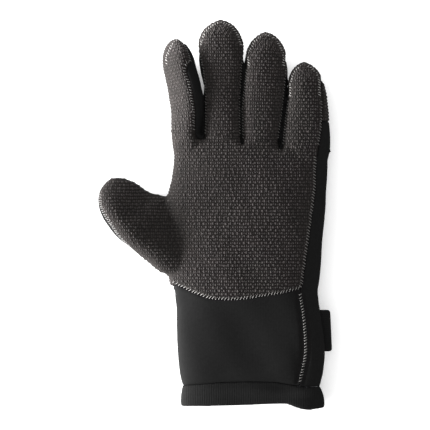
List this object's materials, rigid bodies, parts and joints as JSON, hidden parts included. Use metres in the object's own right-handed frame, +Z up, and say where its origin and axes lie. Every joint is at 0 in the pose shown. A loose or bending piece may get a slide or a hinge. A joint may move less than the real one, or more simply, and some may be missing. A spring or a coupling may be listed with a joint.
{
  "type": "diving glove",
  "caption": "Neoprene diving glove for the left hand, with a knitted cut-resistant palm, a smooth back, a long cuff with a folded hem and a side tab.",
  "frame": {"origin": "on the flattened back of the glove, under the middle of the wrist", "axes": "+X across the palm away from the thumb, +Y from the cuff to the fingertips, +Z up out of the palm"},
  "size_m": [0.1732, 0.2896, 0.0308],
  "materials": {
    "aramid_knit": "matt nubbed knit of black aramid yarn with grey-brown flecks",
    "neoprene": "black nylon jersey on neoprene foam, matt with a faint sheen",
    "hem_neoprene": "black jersey-faced neoprene, folded and sewn, with fine ribs",
    "webbing": "black woven polyester tape, folded"
  },
  "bodies": {
    "root": {"palm_panel": "aramid_knit", "little_finger_side": "aramid_knit", "strip_index_middle": "neoprene", "strip_middle_ring": "neoprene", "strip_ring_little": "neoprene", "back_panel": "neoprene", "cuff_front": "neoprene", "hem": "hem_neoprene", "side_tab": "webbing"}
  },
  "joints": []
}
